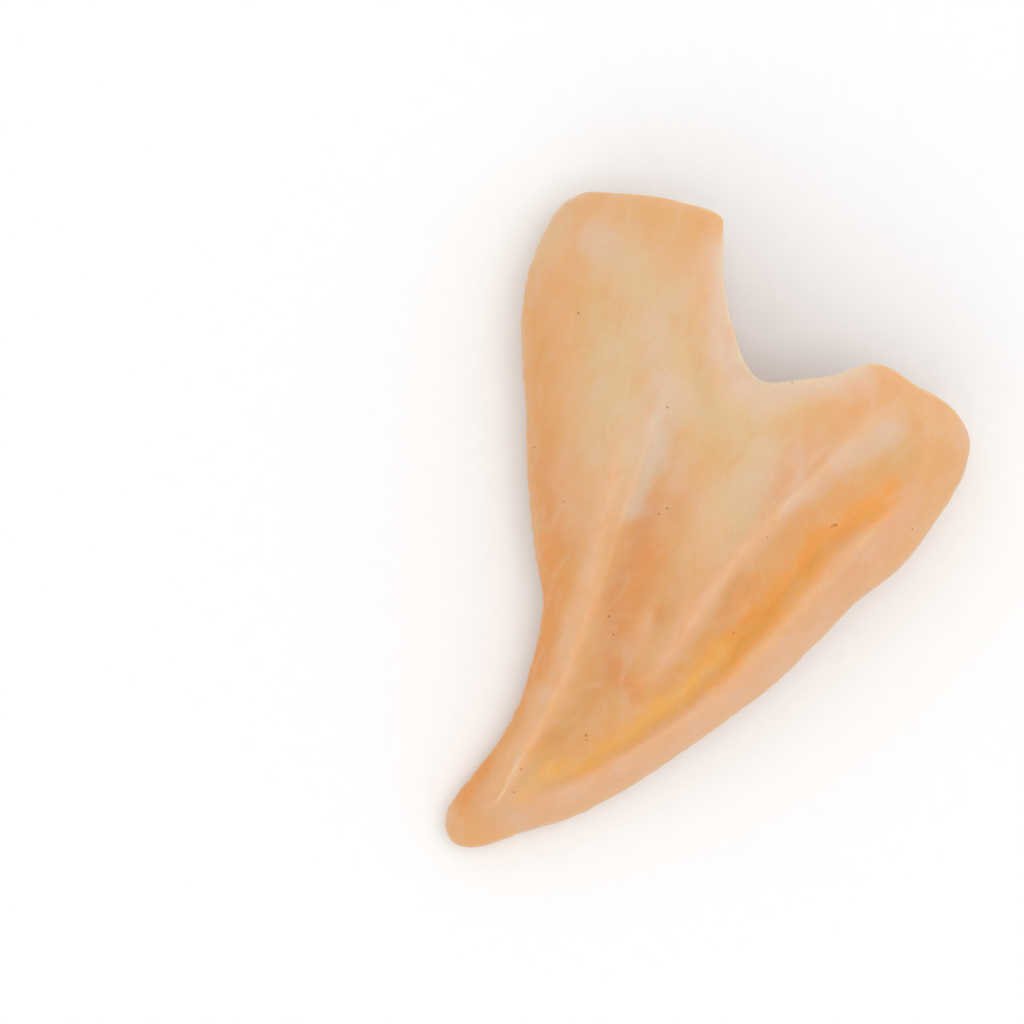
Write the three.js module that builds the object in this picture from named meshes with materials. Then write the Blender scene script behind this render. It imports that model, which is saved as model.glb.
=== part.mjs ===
// A slip-on elf ear tip: one hollow shell of moulded latex, lying on its back.
// The point lies towards -Y. The open mouth, which slips over the top of a real ear, is at +Y.
// The sculpted face looks up along +Z. The leading edge, with the thick rim, is at +X.
// Millimetres. The origin is under the middle of the shell, on the surface that it lies on.

import * as THREE from "three";

// Driving sizes.
const LENGTH = 103.2; // from the point to the end of the long lobe
const WIDTH = 74.5; // across both lobes
const FACE_HEIGHT = 13.5; // the face's crown above the side seams, at the mouth
const BACK_DEPTH = 9; // the back below the side seams, at the mouth
const ARCH = 2.4; // how far the middle of the back clears the surface between the point and the lobes
const WALL = 1.4; // thickness of the latex skin
const NOSE = 5; // length of the rounded end of the point
const TIP_FILL = 9; // length of the point that the latex fills
const BACK_SETBACK = 2; // how much shorter the back is than the face along the mouth
const FOLD_HEIGHT = 3.6; // depth of the deepest fold in the face

// How square each side of a cross-section is: 2 is an ellipse, and more is boxier.
const TRAILING_SQUARENESS = 2.1;
const LEADING_SQUARENESS = 3.0;
const BACK_SQUARENESS = 3.2;

// Mesh density.
const FACE_COLUMNS = 58;
const BACK_COLUMNS = 26;
const BODY_ROWS = 31;
const NOSE_ROWS = 4;
const EDGE_CROWDING = 0.8; // 0 spaces the columns evenly, and 1 crowds them at the seams

// Cross-sections from the point to the mouth. along is a share of LENGTH from the point.
// trailing and leading are the side seams, as shares of WIDTH from the line through the point.
// face, back and arch are shares of FACE_HEIGHT, BACK_DEPTH and ARCH.
const SECTIONS = [
  { along: 0.0, trailing: -0.048, leading: 0.05, face: 0.25, back: 0.38, arch: 0.2 },
  { along: 0.05, trailing: -0.048, leading: 0.09, face: 0.3, back: 0.4, arch: 0.0 },
  { along: 0.12, trailing: -0.036, leading: 0.178, face: 0.38, back: 0.44, arch: 0.1 },
  { along: 0.2, trailing: -0.029, leading: 0.25, face: 0.46, back: 0.48, arch: 0.4 },
  { along: 0.3, trailing: -0.053, leading: 0.318, face: 0.55, back: 0.52, arch: 0.8 },
  { along: 0.38, trailing: -0.096, leading: 0.368, face: 0.62, back: 0.56, arch: 1.0 },
  { along: 0.44, trailing: -0.163, leading: 0.402, face: 0.68, back: 0.6, arch: 1.0 },
  { along: 0.53, trailing: -0.252, leading: 0.437, face: 0.76, back: 0.68, arch: 0.9 },
  { along: 0.61, trailing: -0.318, leading: 0.466, face: 0.83, back: 0.76, arch: 0.7 },
  { along: 0.68, trailing: -0.384, leading: 0.506, face: 0.89, back: 0.83, arch: 0.5 },
  { along: 0.77, trailing: -0.45, leading: 0.523, face: 0.96, back: 0.93, arch: 0.25 },
  { along: 0.86, trailing: -0.472, leading: 0.525, face: 1.0, back: 1.0, arch: 0.1 },
  { along: 0.91, trailing: -0.466, leading: 0.5, face: 1.0, back: 1.0, arch: 0.05 },
  { along: 0.95, trailing: -0.44, leading: 0.46, face: 0.98, back: 1.0, arch: 0.02 },
  { along: 1.0, trailing: -0.38, leading: 0.41, face: 0.95, back: 1.0, arch: 0.0 },
];

// The mouth's cut line. across runs from the trailing seam (0) to the leading seam (1).
const MOUTH = [
  { across: 0.0, along: 0.912 },
  { across: 0.012, along: 0.936 },
  { across: 0.03, along: 0.947 },
  { across: 0.05, along: 0.955 },
  { across: 0.08, along: 0.969 },
  { across: 0.12, along: 0.983 },
  { across: 0.17, along: 0.992 },
  { across: 0.23, along: 1.0 },
  { across: 0.265, along: 0.998 },
  { across: 0.29, along: 0.984 },
  { across: 0.33, along: 0.961 },
  { across: 0.37, along: 0.925 },
  { across: 0.43, along: 0.87 },
  { across: 0.49, along: 0.828 },
  { across: 0.54, along: 0.82 },
  { across: 0.58, along: 0.836 },
  { across: 0.61, along: 0.851 },
  { across: 0.66, along: 0.875 },
  { across: 0.7, along: 0.901 },
  { across: 0.74, along: 0.921 },
  { across: 0.78, along: 0.93 },
  { across: 0.85, along: 0.928 },
  { across: 0.92, along: 0.93 },
  { across: 0.96, along: 0.925 },
  { across: 0.985, along: 0.914 },
  { across: 1.0, along: 0.9 },
];

// Folds of the face, each a line of points from the mouth towards the tip.
// along and across place a point, as shares of LENGTH and of WIDTH from the line through the tip.
// trailing and leading are how far the fold's flanks reach on either side, as shares of WIDTH.
// rise is a share of FOLD_HEIGHT: a ridge is above 0, and a groove below.
const FOLDS = {
  trailing_ridge: [
    { along: 0.73, across: -0.2, trailing: 0.06, leading: 0.05, rise: 0.0 },
    { along: 0.62, across: -0.12, trailing: 0.05, leading: 0.035, rise: 0.26 },
    { along: 0.51, across: -0.062, trailing: 0.045, leading: 0.03, rise: 0.38 },
    { along: 0.41, across: -0.012, trailing: 0.04, leading: 0.026, rise: 0.4 },
    { along: 0.3, across: 0.016, trailing: 0.03, leading: 0.024, rise: 0.38 },
    { along: 0.2, across: 0.026, trailing: 0.025, leading: 0.022, rise: 0.34 },
    { along: 0.09, across: 0.03, trailing: 0.02, leading: 0.02, rise: 0.14 },
  ],
  trailing_trough: [
    { along: 0.75, across: -0.085, trailing: 0.03, leading: 0.03, rise: 0.0 },
    { along: 0.65, across: -0.04, trailing: 0.032, leading: 0.045, rise: -0.3 },
    { along: 0.56, across: 0.004, trailing: 0.036, leading: 0.07, rise: -0.62 },
    { along: 0.47, across: 0.034, trailing: 0.034, leading: 0.07, rise: -0.66 },
    { along: 0.385, across: 0.066, trailing: 0.034, leading: 0.06, rise: -0.56 },
    { along: 0.29, across: 0.09, trailing: 0.04, leading: 0.07, rise: -0.52 },
    { along: 0.19, across: 0.078, trailing: 0.032, leading: 0.05, rise: -0.4 },
    { along: 0.11, across: 0.06, trailing: 0.02, leading: 0.03, rise: 0.0 },
  ],
  bowl: [
    { along: 0.64, across: 0.09, trailing: 0.06, leading: 0.06, rise: 0.0 },
    { along: 0.55, across: 0.11, trailing: 0.07, leading: 0.06, rise: -0.17 },
    { along: 0.45, across: 0.122, trailing: 0.06, leading: 0.045, rise: -0.3 },
    { along: 0.37, across: 0.125, trailing: 0.06, leading: 0.04, rise: -0.17 },
    { along: 0.3, across: 0.12, trailing: 0.06, leading: 0.04, rise: 0.0 },
  ],
  centre_ridge: [
    { along: 0.9, across: 0.32, trailing: 0.05, leading: 0.03, rise: 0.0 },
    { along: 0.8, across: 0.282, trailing: 0.04, leading: 0.03, rise: 0.22 },
    { along: 0.71, across: 0.246, trailing: 0.036, leading: 0.028, rise: 0.3 },
    { along: 0.62, across: 0.214, trailing: 0.04, leading: 0.028, rise: 0.34 },
    { along: 0.52, across: 0.196, trailing: 0.045, leading: 0.028, rise: 0.34 },
    { along: 0.43, across: 0.186, trailing: 0.05, leading: 0.026, rise: 0.28 },
    { along: 0.35, across: 0.172, trailing: 0.04, leading: 0.024, rise: 0.0 },
  ],
  leading_groove: [
    { along: 0.87, across: 0.44, trailing: 0.04, leading: 0.04, rise: 0.0 },
    { along: 0.81, across: 0.42, trailing: 0.05, leading: 0.042, rise: -0.16 },
    { along: 0.75, across: 0.386, trailing: 0.06, leading: 0.04, rise: -0.5 },
    { along: 0.68, across: 0.344, trailing: 0.065, leading: 0.036, rise: -0.86 },
    { along: 0.59, across: 0.318, trailing: 0.065, leading: 0.036, rise: -1.0 },
    { along: 0.5, across: 0.296, trailing: 0.062, leading: 0.036, rise: -0.93 },
    { along: 0.41, across: 0.265, trailing: 0.058, leading: 0.036, rise: -0.82 },
    { along: 0.32, across: 0.226, trailing: 0.055, leading: 0.035, rise: -0.68 },
    { along: 0.24, across: 0.174, trailing: 0.05, leading: 0.033, rise: -0.52 },
    { along: 0.17, across: 0.112, trailing: 0.035, leading: 0.03, rise: -0.3 },
    { along: 0.12, across: 0.075, trailing: 0.025, leading: 0.02, rise: 0.0 },
  ],
  leading_rim: [
    { along: 0.86, across: 0.47, trailing: 0.04, leading: 0.04, rise: 0.0 },
    { along: 0.74, across: 0.444, trailing: 0.04, leading: 0.05, rise: 0.14 },
    { along: 0.62, across: 0.402, trailing: 0.036, leading: 0.05, rise: 0.24 },
    { along: 0.5, across: 0.366, trailing: 0.034, leading: 0.05, rise: 0.26 },
    { along: 0.38, across: 0.312, trailing: 0.034, leading: 0.045, rise: 0.26 },
    { along: 0.26, across: 0.238, trailing: 0.03, leading: 0.04, rise: 0.22 },
    { along: 0.15, across: 0.14, trailing: 0.03, leading: 0.03, rise: 0.12 },
    { along: 0.08, across: 0.07, trailing: 0.03, leading: 0.03, rise: 0.0 },
  ],
  lobe_hollow: [
    { along: 0.91, across: 0.375, trailing: 0.04, leading: 0.04, rise: 0.0 },
    { along: 0.86, across: 0.378, trailing: 0.045, leading: 0.055, rise: -0.36 },
    { along: 0.81, across: 0.384, trailing: 0.05, leading: 0.07, rise: -0.54 },
    { along: 0.76, across: 0.37, trailing: 0.05, leading: 0.045, rise: -0.24 },
    { along: 0.7, across: 0.35, trailing: 0.04, leading: 0.04, rise: 0.0 },
  ],
  notch_lip: [
    { along: 0.97, across: -0.14, trailing: 0.03, leading: 0.03, rise: -0.08 },
    { along: 0.9, across: -0.07, trailing: 0.03, leading: 0.03, rise: -0.24 },
    { along: 0.83, across: 0.02, trailing: 0.03, leading: 0.03, rise: -0.34 },
    { along: 0.85, across: 0.13, trailing: 0.03, leading: 0.03, rise: -0.24 },
    { along: 0.92, across: 0.24, trailing: 0.03, leading: 0.03, rise: -0.08 },
  ],
};

const FOLD_STEPS = 28; // short straight steps that each fold's line is measured along

// A smooth curve through one table's rows: give it a value of the key column, and it gives the other columns.
function curveThrough(rows, key) {
  const columns = Object.keys(rows[0]).filter((name) => name !== key);
  const keys = rows.map((row, index) => (key === undefined ? index : row[key]));
  const values = rows.flatMap((row) => columns.map((name) => row[name]));
  const curve = new THREE.CubicInterpolant(keys, values, columns.length);
  return (at) => {
    const found = curve.evaluate(at);
    return Object.fromEntries(columns.map((name, index) => [name, found[index]]));
  };
}

const sectionAt = curveThrough(SECTIONS, "along");
const mouthAt = curveThrough(MOUTH, "across");

// Each fold as a chain of points in millimetres.
const foldLines = Object.values(FOLDS).map((rows) => {
  const pointAt = curveThrough(rows);
  return Array.from({ length: FOLD_STEPS + 1 }, (_, step) => {
    const at = pointAt((step / FOLD_STEPS) * (rows.length - 1));
    return {
      place: new THREE.Vector2(at.across * WIDTH, at.along * LENGTH),
      trailing: at.trailing * WIDTH,
      leading: at.leading * WIDTH,
      rise: at.rise * FOLD_HEIGHT,
    };
  });
});

// How far one fold lifts or sinks the face at a place: its full rise on the line, and less on the flanks.
function foldLift(line, place) {
  let nearest = Infinity;
  let lift = 0;
  for (let step = 0; step < FOLD_STEPS; step++) {
    const [from, to] = [line[step], line[step + 1]];
    const run = to.place.clone().sub(from.place);
    const reach = place.clone().sub(from.place);
    const share = THREE.MathUtils.clamp(reach.dot(run) / run.lengthSq(), 0, 1);
    const away = reach.addScaledVector(run, -share).length();
    if (away >= nearest) continue;
    nearest = away;
    const foot = from.place.x + share * run.x;
    const side = place.x < foot ? "trailing" : "leading";
    const flank = THREE.MathUtils.lerp(from[side], to[side], share);
    lift = THREE.MathUtils.lerp(from.rise, to.rise, share) * Math.exp(-((away / flank) ** 2));
  }
  return lift;
}

// Height of a rounded profile over its width: 0 at the seams, where across is 0 or 1, and 1 in the middle.
function roundedProfile(across, trailing, leading) {
  const squareness = across < 0.5 ? trailing : leading;
  return (1 - Math.abs(2 * across - 1) ** squareness) ** (1 / squareness);
}

// A point of the outer surface. y is the distance from the tip and across the share from seam to seam.
function outerPoint(y, across, isFace) {
  const section = sectionAt(y / LENGTH);
  const nose = y < NOSE ? Math.sqrt(1 - (1 - y / NOSE) ** 2) : 1;
  const middle = ((section.trailing + section.leading) / 2) * WIDTH;
  const half = ((section.leading - section.trailing) / 2) * WIDTH * nose;
  const x = middle + (2 * across - 1) * half;
  const seam = section.arch * ARCH + section.back * BACK_DEPTH;
  if (!isFace) {
    const depth = section.back * BACK_DEPTH * nose;
    return new THREE.Vector3(x, y, seam - depth * roundedProfile(across, BACK_SQUARENESS, BACK_SQUARENESS));
  }
  const crown = roundedProfile(across, TRAILING_SQUARENESS, LEADING_SQUARENESS);
  const place = new THREE.Vector2(x, y);
  const folds = foldLines.reduce((sum, line) => sum + foldLift(line, place), 0);
  return new THREE.Vector3(x, y, seam + crown * (section.face * FACE_HEIGHT * nose + folds));
}

// The columns of one cross-section, once round: over the face to the leading seam, and back under it.
function columnsRound() {
  const spread = (count) =>
    Array.from({ length: count }, (_, index) => {
      const even = index / count;
      return THREE.MathUtils.lerp(even, (1 - Math.cos(Math.PI * even)) / 2, EDGE_CROWDING);
    });
  return [
    ...spread(FACE_COLUMNS).map((across) => ({ across, isFace: true })),
    ...spread(BACK_COLUMNS).map((across) => ({ across: 1 - across, isFace: false })),
  ];
}

// The rows of one column, as distances from the tip: evenly from the mouth's cut line, then round the nose.
function rowsDown({ across, isFace }) {
  const setback = isFace ? 0 : BACK_SETBACK * Math.sin(Math.PI * across);
  const mouth = mouthAt(across).along * LENGTH - setback;
  const rows = [];
  for (let row = 0; row < BODY_ROWS; row++) {
    rows.push(THREE.MathUtils.lerp(mouth, NOSE, row / BODY_ROWS));
  }
  for (let row = 0; row < NOSE_ROWS; row++) {
    rows.push(NOSE * (1 - Math.sin((Math.PI / 2) * (row / NOSE_ROWS))));
  }
  return rows;
}

// Triangles between two rings of points that start at the given places in the list.
function bandBetween(first, second, count) {
  return Array.from({ length: count }, (_, index) => {
    const next = (index + 1) % count;
    return [first + index, second + index, first + next, first + next, second + index, second + next];
  }).flat();
}

// Triangles from one ring of points to a single point.
function fanTo(ring, point, count) {
  return Array.from({ length: count }, (_, index) => {
    const next = (index + 1) % count;
    return [ring + index, point, ring + next];
  }).flat();
}

function geometryOf(points, triangles) {
  const geometry = new THREE.BufferGeometry().setFromPoints(points);
  geometry.setIndex(triangles);
  geometry.computeVertexNormals();
  return geometry;
}

// The shell: an outer skin from the mouth to the point, and an inner skin one wall inside it.
function shellGeometry() {
  const columns = columnsRound();
  const count = columns.length;
  const rowsByColumn = columns.map(rowsDown);
  const rows = rowsByColumn[0].length;
  const outer = [];
  for (let row = 0; row < rows; row++) {
    columns.forEach(({ across, isFace }, index) => {
      outer.push(outerPoint(rowsByColumn[index][row], across, isFace));
    });
  }
  const tip = outer.length;
  outer.push(outerPoint(0, 0.5, true));

  const outerBands = Array.from({ length: rows - 1 }, (_, row) =>
    bandBetween(row * count, (row + 1) * count, count),
  ).flat();
  const outerSkin = geometryOf(outer, [...outerBands, ...fanTo((rows - 1) * count, tip, count)]);
  const normals = outerSkin.getAttribute("normal");

  // The inner skin stops where latex fills the point.
  const hollowRows = rowsByColumn[0].findIndex((y) => y < TIP_FILL);
  const start = outer.length;
  const inner = outer.slice(0, hollowRows * count).map((point, index) => {
    const outward = new THREE.Vector3().fromBufferAttribute(normals, index);
    return point.clone().addScaledVector(outward, -WALL);
  });
  const lastRing = inner.slice(-count);
  const middle = lastRing.reduce((sum, point) => sum.add(point), new THREE.Vector3()).divideScalar(count);
  inner.push(middle.setY(middle.y - WALL));

  const innerBands = Array.from({ length: hollowRows - 1 }, (_, row) =>
    bandBetween(start + row * count, start + (row + 1) * count, count),
  ).flat();
  const innerFan = fanTo(start + (hollowRows - 1) * count, start + inner.length - 1, count);
  const turned = [...innerBands, ...innerFan].reverse();
  const mouthEdge = bandBetween(start, 0, count);
  return geometryOf([...outer, ...inner], [...outerSkin.getIndex().array, ...turned, ...mouthEdge]);
}

const LATEX_COLOUR = 0xe6b283;
const LATEX_ROUGHNESS = 0.5;
const latex = new THREE.MeshStandardMaterial({
  name: "latex",
  color: LATEX_COLOUR,
  roughness: LATEX_ROUGHNESS,
  metalness: 0,
});

const earTip = new THREE.Mesh(shellGeometry(), latex);
earTip.name = "ear_tip";

// Puts the origin under the middle of the shell, on the surface that it lies on.
earTip.geometry.computeBoundingBox();
const { min, max } = earTip.geometry.boundingBox;
earTip.position.set(-(min.x + max.x) / 2, -(min.y + max.y) / 2, -min.z);

const model = new THREE.Group();
model.add(earTip);

export default model;
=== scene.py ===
# %% [markdown]
# # Dressing an elf ear tip
# An elf ear tip is a hollow skin of latex. Liquid latex is swilled round a plaster mould, left to
# set, peeled out and trimmed with scissors, and the open end then slips over the top of an ear.
# The plain solid is loaded first, and everything here is made around it, in metres.

import bpy
import numpy as np
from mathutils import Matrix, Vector, noise


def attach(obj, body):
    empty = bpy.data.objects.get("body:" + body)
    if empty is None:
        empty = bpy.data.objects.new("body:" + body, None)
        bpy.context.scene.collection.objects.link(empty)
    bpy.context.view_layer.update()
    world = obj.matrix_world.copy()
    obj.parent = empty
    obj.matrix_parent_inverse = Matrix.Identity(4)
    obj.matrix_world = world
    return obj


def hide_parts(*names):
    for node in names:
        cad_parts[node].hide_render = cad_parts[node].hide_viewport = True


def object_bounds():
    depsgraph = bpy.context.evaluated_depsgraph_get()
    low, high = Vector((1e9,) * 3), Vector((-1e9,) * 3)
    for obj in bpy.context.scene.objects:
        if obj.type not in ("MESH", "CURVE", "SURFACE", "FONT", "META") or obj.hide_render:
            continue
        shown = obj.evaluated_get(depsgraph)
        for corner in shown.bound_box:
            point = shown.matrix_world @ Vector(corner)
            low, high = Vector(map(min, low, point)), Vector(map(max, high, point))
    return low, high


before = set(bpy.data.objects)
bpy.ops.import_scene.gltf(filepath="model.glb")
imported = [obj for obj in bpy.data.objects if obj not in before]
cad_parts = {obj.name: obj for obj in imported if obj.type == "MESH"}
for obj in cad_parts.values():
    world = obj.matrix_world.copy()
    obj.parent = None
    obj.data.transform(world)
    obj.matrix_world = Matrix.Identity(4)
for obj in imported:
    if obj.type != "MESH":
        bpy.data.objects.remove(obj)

MM = 0.001  # metres
solid_low, solid_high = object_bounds()
print("plain solid, mm:", [round(side / MM, 1) for side in solid_high - solid_low])

# %% [markdown]
# ## The sizes
# A sculptor would block out the ear tip with a few cross-sections before touching any fold. The
# same sizes and sections as the plain solid's are used, so that the dressed one fills its place.
# They could be copied from its mesh, but a fresh mesh can be over ten times finer and still even.

# %% Sizes in millimetres, and the cross-sections
LENGTH = 103.2
WIDTH = 74.5
FACE_HEIGHT = 13.5  # of the face over the side seams
BACK_DEPTH = 9.0  # of the back under the side seams
ARCH = 2.4  # how far the back rises off the table between the point and the lobes
WALL = 1.4
NOSE = 5.0  # length of the point's rounding
TIP_FILL = 9.0  # how far from the point the latex is solid
BACK_SETBACK = 2.0  # how much shorter the back is cut than the face
FOLD_HEIGHT = 3.6  # rise of a fold of 1 in the table of folds

# along, trailing seam, leading seam, face, back, arch: shares of the sizes above.
SECTIONS = np.array([
    (0.00, -0.048, 0.050, 0.25, 0.38, 0.20),
    (0.05, -0.048, 0.090, 0.30, 0.40, 0.00),
    (0.12, -0.036, 0.178, 0.38, 0.44, 0.10),
    (0.20, -0.029, 0.250, 0.46, 0.48, 0.40),
    (0.30, -0.053, 0.318, 0.55, 0.52, 0.80),
    (0.38, -0.096, 0.368, 0.62, 0.56, 1.00),
    (0.44, -0.163, 0.402, 0.68, 0.60, 1.00),
    (0.53, -0.252, 0.437, 0.76, 0.68, 0.90),
    (0.61, -0.318, 0.466, 0.83, 0.76, 0.70),
    (0.68, -0.384, 0.506, 0.89, 0.83, 0.50),
    (0.77, -0.450, 0.523, 0.96, 0.93, 0.25),
    (0.86, -0.472, 0.525, 1.00, 1.00, 0.10),
    (0.91, -0.466, 0.500, 1.00, 1.00, 0.05),
    (0.95, -0.440, 0.460, 0.98, 1.00, 0.02),
    (1.00, -0.380, 0.410, 0.95, 1.00, 0.00),
])

# The scissors' line round the mouth: across from seam to seam, and along from the point.
MOUTH = np.array([
    (0.00, 0.912), (0.012, 0.936), (0.03, 0.947), (0.05, 0.955), (0.08, 0.969),
    (0.12, 0.983), (0.17, 0.992), (0.23, 1.000), (0.265, 0.998), (0.29, 0.984),
    (0.33, 0.961), (0.37, 0.925), (0.43, 0.870), (0.49, 0.828), (0.54, 0.820),
    (0.58, 0.836), (0.61, 0.851), (0.66, 0.875), (0.70, 0.901), (0.74, 0.921),
    (0.78, 0.930), (0.85, 0.928), (0.92, 0.930), (0.96, 0.925), (0.985, 0.914),
    (1.00, 0.900),
])
print("cross-sections:", len(SECTIONS), "points on the mouth's cut:", len(MOUTH))

# %% [markdown]
# ## A smooth line through a few rows
# Latex has no corners along its length, so the sections are joined by curves. Each stretch is a
# cubic that leaves every row at the average of the slopes on its two sides.

# %% Curves through a table
def smooth_through(table, at):
    """The other columns of a table where its first column is at."""
    keys, values = table[:, 0], table[:, 1:]
    secants = np.diff(values, axis=0) / np.diff(keys)[:, None]
    slopes = np.vstack([secants[:1], (secants[:-1] + secants[1:]) / 2, secants[-1:]])
    row = np.clip(np.searchsorted(keys, at, side="right") - 1, 0, len(keys) - 2)
    step = (keys[row + 1] - keys[row])[..., None]
    t = (np.asarray(at) - keys[row])[..., None] / step
    return (
        (1 + 2 * t) * (1 - t) ** 2 * values[row]
        + t * (1 - t) ** 2 * step * slopes[row]
        + t**2 * (3 - 2 * t) * values[row + 1]
        - t**2 * (1 - t) * step * slopes[row + 1]
    )


print("seams halfway along, mm:", (smooth_through(SECTIONS, 0.5)[:2] * WIDTH).round(1))

# %% [markdown]
# ## The big folds
# A real ear's outer rim, its inner ridge and the hollows between them are what make the face read
# as an ear. Each one is a line drawn down the face, with a height and a reach on either side. They
# could be sculpted by hand, but lines in a table can be nudged one at a time against the photo.

# %% Folds that the plain solid has too
# along, across, reach to trailing, reach to leading, rise: shares, from the mouth to the point.
FOLDS = {
    "trailing_ridge": [
        (0.73, -0.200, 0.060, 0.050, 0.00), (0.62, -0.120, 0.050, 0.035, 0.26),
        (0.51, -0.062, 0.045, 0.030, 0.38), (0.41, -0.012, 0.040, 0.026, 0.40),
        (0.30, 0.016, 0.030, 0.024, 0.38), (0.20, 0.026, 0.025, 0.022, 0.34),
        (0.09, 0.030, 0.020, 0.020, 0.14),
    ],
    "trailing_trough": [
        (0.75, -0.085, 0.030, 0.030, 0.00), (0.65, -0.040, 0.032, 0.045, -0.30),
        (0.56, 0.004, 0.036, 0.070, -0.62), (0.47, 0.034, 0.034, 0.070, -0.66),
        (0.385, 0.066, 0.034, 0.060, -0.56), (0.29, 0.090, 0.040, 0.070, -0.52),
        (0.19, 0.078, 0.032, 0.050, -0.40), (0.11, 0.060, 0.020, 0.030, 0.00),
    ],
    "bowl": [
        (0.64, 0.090, 0.060, 0.060, 0.00), (0.55, 0.110, 0.070, 0.060, -0.17),
        (0.45, 0.122, 0.060, 0.045, -0.30), (0.37, 0.125, 0.060, 0.040, -0.17),
        (0.30, 0.120, 0.060, 0.040, 0.00),
    ],
    "centre_ridge": [
        (0.90, 0.320, 0.050, 0.030, 0.00), (0.80, 0.282, 0.040, 0.030, 0.22),
        (0.71, 0.246, 0.036, 0.028, 0.30), (0.62, 0.214, 0.040, 0.028, 0.34),
        (0.52, 0.196, 0.045, 0.028, 0.34), (0.43, 0.186, 0.050, 0.026, 0.28),
        (0.35, 0.172, 0.040, 0.024, 0.00),
    ],
    "leading_groove": [
        (0.87, 0.440, 0.040, 0.040, 0.00), (0.81, 0.420, 0.050, 0.042, -0.16),
        (0.75, 0.386, 0.060, 0.040, -0.50), (0.68, 0.344, 0.065, 0.036, -0.86),
        (0.59, 0.318, 0.065, 0.036, -1.00), (0.50, 0.296, 0.062, 0.036, -0.93),
        (0.41, 0.265, 0.058, 0.036, -0.82), (0.32, 0.226, 0.055, 0.035, -0.68),
        (0.24, 0.174, 0.050, 0.033, -0.52), (0.17, 0.112, 0.035, 0.030, -0.30),
        (0.12, 0.075, 0.025, 0.020, 0.00),
    ],
    "leading_rim": [
        (0.86, 0.470, 0.040, 0.040, 0.00), (0.74, 0.444, 0.040, 0.050, 0.14),
        (0.62, 0.402, 0.036, 0.050, 0.24), (0.50, 0.366, 0.034, 0.050, 0.26),
        (0.38, 0.312, 0.034, 0.045, 0.26), (0.26, 0.238, 0.030, 0.040, 0.22),
        (0.15, 0.140, 0.030, 0.030, 0.12), (0.08, 0.070, 0.030, 0.030, 0.00),
    ],
    "lobe_hollow": [
        (0.91, 0.375, 0.040, 0.040, 0.00), (0.86, 0.378, 0.045, 0.055, -0.36),
        (0.81, 0.384, 0.050, 0.070, -0.54), (0.76, 0.370, 0.050, 0.045, -0.24),
        (0.70, 0.350, 0.040, 0.040, 0.00),
    ],
    "notch_lip": [
        (0.97, -0.140, 0.030, 0.030, -0.08), (0.90, -0.070, 0.030, 0.030, -0.24),
        (0.83, 0.020, 0.030, 0.030, -0.34), (0.85, 0.130, 0.030, 0.030, -0.24),
        (0.92, 0.240, 0.030, 0.030, -0.08),
    ],
}
SHARE_SIZES = (LENGTH, WIDTH, WIDTH, WIDTH, FOLD_HEIGHT)
big_folds = [np.array(rows) * SHARE_SIZES for rows in FOLDS.values()]
print("big folds:", ", ".join(FOLDS))

# %% [markdown]
# ## The small folds
# The mould also carries the sculptor's smaller marks: a crisp crest on the ridges, a dimple in the
# bowl, a double lip on the rim. They are low enough to be left off the plain solid. Bump could fake
# them, but it vanishes at the outline and in the exported mesh, so they are modelled as well.

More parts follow.
